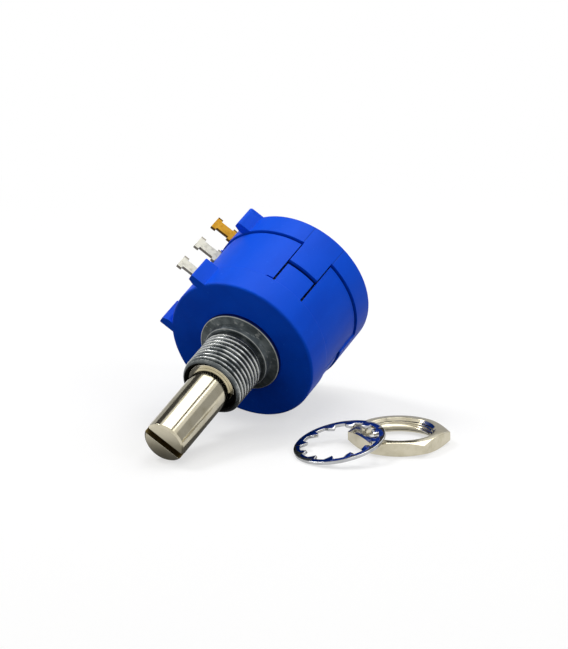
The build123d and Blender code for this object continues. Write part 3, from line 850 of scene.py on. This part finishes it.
def backgroundRay(board):
    rays = board.node("ShaderNodeLightPath").socket.node.outputs
    seen = [Wire(board.tree, rays[n]) for n in ("Is Camera Ray", "Is Glossy Ray", "Is Transmission Ray")]
    return board.math("MAXIMUM", board.math("MAXIMUM", seen[0], seen[1]), seen[2])


def glowShader(board, strength):
    return board.node("ShaderNodeEmission", None, {"Color": stageLook["skyColour"], "Strength": strength})


def makeFloor(s):
    mesh = bmesh.new()
    bmesh.ops.create_grid(mesh, x_segments=2, y_segments=2, size=s["floorSize"] / 2)
    material, board = startMaterial("paleFloor")
    closeBounce = board.node("ShaderNodeBsdfDiffuse", None, {"Color": s["bounceColour"]})
    farBounce = glowShader(board, s["farBounce"])
    glow = glowShader(board, s["floorGlow"])
    pale = board.node("ShaderNodeBsdfDiffuse", None, {"Color": s["floorColour"]})
    near = board.node("ShaderNodeAddShader", None, {0: glow, 1: pale})
    white = glowShader(board, 1.0)
    x, y = parts(board, placeWire(board))[:2]
    away = fromAxis(board, x, y).between(s["plainFrom"], s["plainTo"])
    shown = board.node("ShaderNodeMixShader", None, {0: away, 1: near, 2: white})
    bounce = board.node("ShaderNodeMixShader", None, {0: away, 1: closeBounce, 2: farBounce})
    surface = board.node("ShaderNodeMixShader", None, {0: backgroundRay(board), 1: bounce, 2: shown})
    board.node("ShaderNodeOutputMaterial", None, {"Surface": surface})
    linkPiece("floor", mesh, material)


def makeSky(s):
    world = bpy.data.worlds.new("sky")
    bpy.context.scene.world = world
    world.use_nodes = True
    world.node_tree.nodes.clear()
    board = Wire(world.node_tree)
    strength = s["skyStrength"] + backgroundRay(board) * (1 - s["skyStrength"])
    light = board.node("ShaderNodeBackground", None, {"Color": s["skyColour"], "Strength": strength})
    board.node("ShaderNodeOutputWorld", None, {"Surface": light})


# Soft round lamps: a way is the azimuth from the front and the elevation in degrees, lengths in metres

lamps = {
    "overhead": {"way": (172, 62), "distance": 0.50, "size": 0.50, "power": 1.45, "colour": (1, 0.995, 0.98)},
    "left": {"way": (-88, 52), "distance": 0.48, "size": 0.14, "power": 0.75, "colour": (1, 1, 1)},
    "right": {"way": (84, 42), "distance": 0.50, "size": 0.22, "power": 0.36, "colour": (0.98, 0.99, 1)},
}

# Grey and black cards round the part give the polished metal something dark to reflect

cards = {
    "greyRight": {"way": (131, 16), "distance": 0.34, "wide": 0.36, "tall": 0.27, "glow": 0.46},
    "greyLeft": {"way": (-138, 12), "distance": 0.34, "wide": 0.38, "tall": 0.17, "glow": 0.50},
    "blackLeft": {"way": (-130, 39), "distance": 0.34, "wide": 0.30, "tall": 0.15, "glow": 0.06},
    "blackSeam": {"way": (141, 58), "distance": 0.30, "wide": 0.042, "tall": 0.24, "glow": 0.15, "spin": 55},
}


def wayToVector(way):
    az, el = math.radians(way[0]), math.radians(way[1])
    return Vector((math.sin(az) * math.cos(el), -math.cos(az) * math.cos(el), math.sin(el)))


def makeLamps(rows):
    for name, s in rows.items():
        data = bpy.data.lights.new(name, "AREA")
        data.shape = "DISK"
        data.size = s["size"]
        data.energy = s["power"]
        data.color = s["colour"]
        lamp = bpy.data.objects.new(name, data)
        lamp.location = wayToVector(s["way"]) * s["distance"]
        lamp.rotation_euler = (-lamp.location).to_track_quat("-Z", "Y").to_euler()
        bpy.context.scene.collection.objects.link(lamp)


def makeCards(rows):
    for name, s in rows.items():
        mesh = bmesh.new()
        bmesh.ops.create_grid(mesh, x_segments=1, y_segments=1, size=0.5)
        bmesh.ops.scale(mesh, vec=(s["wide"], s["tall"], 1), verts=mesh.verts)
        outward = wayToVector(s["way"])
        turn = outward.to_track_quat("Z", "Y").to_matrix().to_4x4()
        spin = Matrix.Rotation(math.radians(s.get("spin", 0)), 4, "Z")
        place = Matrix.Translation(outward * s["distance"]) @ turn @ spin
        bmesh.ops.transform(mesh, matrix=place, verts=mesh.verts)
        material, board = startMaterial(name)
        grey = glowShader(board, s["glow"])
        board.node("ShaderNodeOutputMaterial", None, {"Surface": grey})
        card = linkPiece(name, mesh, material)
        card.visible_camera = False


# A dark card under the part, which only polished metal sees: a painted shadow under the part, for its
# reflections

paintedShadowCard = {
    "low": (-0.028, -0.0262),                           # its corners on the floor, in metres
    "high": (-0.003, 0.008),
    "height": 0.0001,
    "glow": 0.10,
    "clearTo": -0.0252,                                 # it fades out ahead of the shaft's end
    "darkFrom": -0.0196,
}


def makePaintedShadowCard(s):
    mesh = bmesh.new()
    bmesh.ops.create_grid(mesh, x_segments=1, y_segments=1, size=0.5)
    low, high = Vector((*s["low"], s["height"])), Vector((*s["high"], s["height"]))
    bmesh.ops.scale(mesh, vec=(high.x - low.x, high.y - low.y, 1), verts=mesh.verts)
    bmesh.ops.translate(mesh, vec=(low + high) / 2, verts=mesh.verts)
    material, board = startMaterial("paintedShadowCard")
    dark = glowShader(board, s["glow"])
    clear = board.node("ShaderNodeBsdfTransparent")
    behindTip = parts(board, placeWire(board))[1].between(s["clearTo"], s["darkFrom"])
    fade = board.node("ShaderNodeMixShader", None, {0: behindTip, 1: clear, 2: dark})
    board.node("ShaderNodeOutputMaterial", None, {"Surface": fade})
    card = linkPiece("paintedShadowCard", mesh, material)
    card.visible_camera = False
    card.visible_diffuse = False
    card.visible_shadow = False


# The camera looks at the mounting face: angles in degrees, lengths in mm

cameraFit = {
    "azimuth": 30.628,
    "elevation": 16.558,
    "roll": -0.580,
    "distance": 506.47,
    "offset": (7.055, 4.790),
    "focalPixels": 3500,
    "imageHeight": 649,
    "sensorWidth": 36,
}


def makeCamera(s):
    azimuth, roll = math.radians(s["azimuth"]), math.radians(s["roll"])
    back = wayToVector((s["azimuth"], s["elevation"]))
    level = Vector((math.cos(azimuth), math.sin(azimuth), 0))
    steep = back.cross(level)
    right = level * math.cos(roll) + steep * math.sin(roll)
    up = steep * math.cos(roll) - level * math.sin(roll)
    place = faceMiddle + (back * s["distance"] + right * s["offset"][0] + up * s["offset"][1]) * mm
    data = bpy.data.cameras.new("camera")
    data.sensor_width = s["sensorWidth"]
    data.lens = s["sensorWidth"] * s["focalPixels"] / s["imageHeight"]
    data.clip_start = 0.01
    camera = bpy.data.objects.new("camera", data)
    camera.matrix_world = Matrix.Translation(place) @ Matrix((right, up, back)).transposed().to_4x4()
    bpy.context.scene.collection.objects.link(camera)
    bpy.context.scene.camera = camera


makeFloor(stageLook)
makeSky(stageLook)
makeLamps(lamps)
makeCards(cards)
makePaintedShadowCard(paintedShadowCard)
makeCamera(cameraFit)
bpy.context.scene.view_settings.view_transform = "Standard"
print("stage ready")
